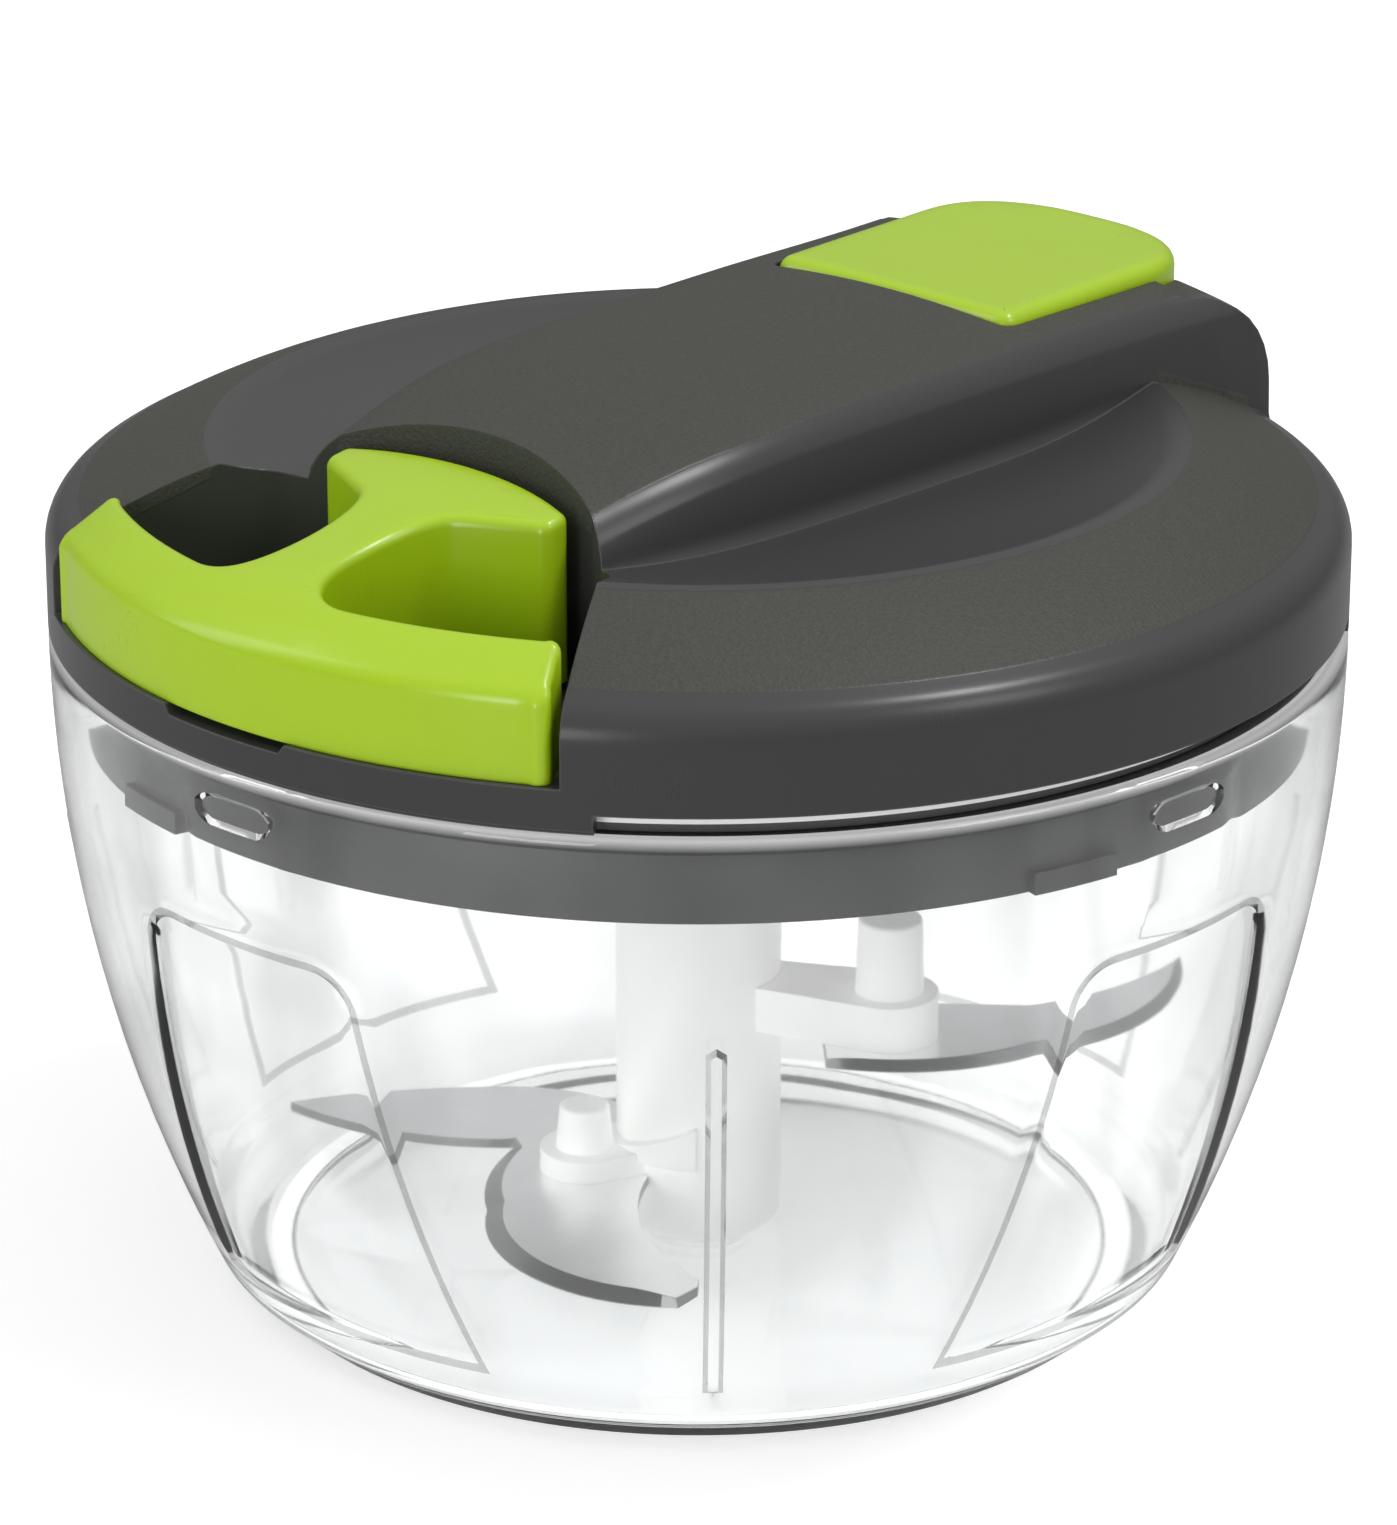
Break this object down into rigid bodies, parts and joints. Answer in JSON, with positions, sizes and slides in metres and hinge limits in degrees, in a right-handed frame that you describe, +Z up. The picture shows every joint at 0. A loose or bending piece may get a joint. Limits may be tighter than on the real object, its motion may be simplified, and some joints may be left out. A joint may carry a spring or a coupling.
{
  "type": "pull-string food chopper",
  "caption": "Hand-pulled food chopper: clear round bowl, curved blades on a central hub, and a lid with raised grip, pull handle, string drum and lock button.",
  "frame": {"origin": "centre of the bowl's base, on the surface it stands on", "axes": "+Z up along the bowl's axis; -Y towards the pull handle; the grip over the lid runs along Y with the lock button on its +Y half"},
  "size_m": [0.13, 0.13, 0.0977],
  "materials": {
    "clear_plastic": "clear and polished",
    "white_plastic": "moulded, satin",
    "steel": "ground",
    "grey_plastic": "satin, with a fine grain round the rim and on the grip",
    "skirt_plastic": "moulded, satin",
    "seal_rubber": "matt",
    "string": "braided",
    "green_plastic": "polished"
  },
  "bodies": {
    "bowl": {"bowl": "clear_plastic", "bowl_spindle": "steel"},
    "seal": {"lid_seal": "seal_rubber"},
    "lid": {"lid_cover": "grey_plastic", "lid_base": "skirt_plastic", "drum_axle": "steel", "drum_washer": "steel", "string_eyelet": "steel", "string_feed": "string", "lock_carrier": "skirt_plastic", "bolt_spring": "steel", "button_spring": "steel", "lid_screws": "steel"},
    "drum": {"string_drum": "white_plastic", "string_winding": "string", "recoil_spring": "steel"},
    "blades": {"blade_hub": "white_plastic", "blade_lower": "steel", "blade_upper": "steel", "blade_cap_lower": "white_plastic", "blade_cap_upper": "white_plastic"},
    "handle": {"pull_handle": "green_plastic", "pull_string": "string", "string_knot": "string"},
    "button": {"lock_button": "green_plastic"},
    "bolt": {"lock_bolt": "white_plastic"}
  },
  "joints": [
    {"name": "lid_lift", "type": "slide", "parent": "bowl", "child": "seal", "axis": [0, 0, 1], "range_m": [0, 0.12]},
    {"name": "lid_twist", "type": "hinge", "parent": "seal", "child": "lid", "pos_m": [0, 0, 0.0707], "axis": [0, 0, 1], "range_deg": [0, 12.5]},
    {"name": "handle_pull", "type": "slide", "parent": "lid", "child": "handle", "axis": [0, -1, 0], "range_m": [0, 0.2576], "stiffness_N_per_m": 20, "springref_m": -0.1, "deforming": ["string_winding", "string_feed", "recoil_spring"]},
    {"name": "drum_spin", "type": "hinge", "parent": "lid", "child": "drum", "pos_m": [0, 0, 0.0706], "axis": [0, 0, -1], "range_deg": [0, 720]},
    {"name": "blade_spin", "type": "hinge", "parent": "bowl", "child": "blades", "pos_m": [0, 0, 0.0035], "axis": [0, 0, -1], "range_deg": [0, 720]},
    {"name": "button_press", "type": "slide", "parent": "lid", "child": "button", "axis": [0, 0, -1], "range_m": [0, 0.003], "stiffness_N_per_m": 600, "springref_m": -0.002, "deforming": ["button_spring", "bolt_spring"]},
    {"name": "bolt_slide", "type": "slide", "parent": "lid", "child": "bolt", "axis": [0, -1, 0], "range_m": [0, 0.003]}
  ],
  "couplings": [
    {"joint": "drum_spin", "follows": "handle_pull", "rad_per_m": 48.781},
    {"joint": "blade_spin", "follows": "handle_pull", "rad_per_m": 48.781},
    {"joint": "bolt_slide", "follows": "button_press", "ratio": 1}
  ]
}
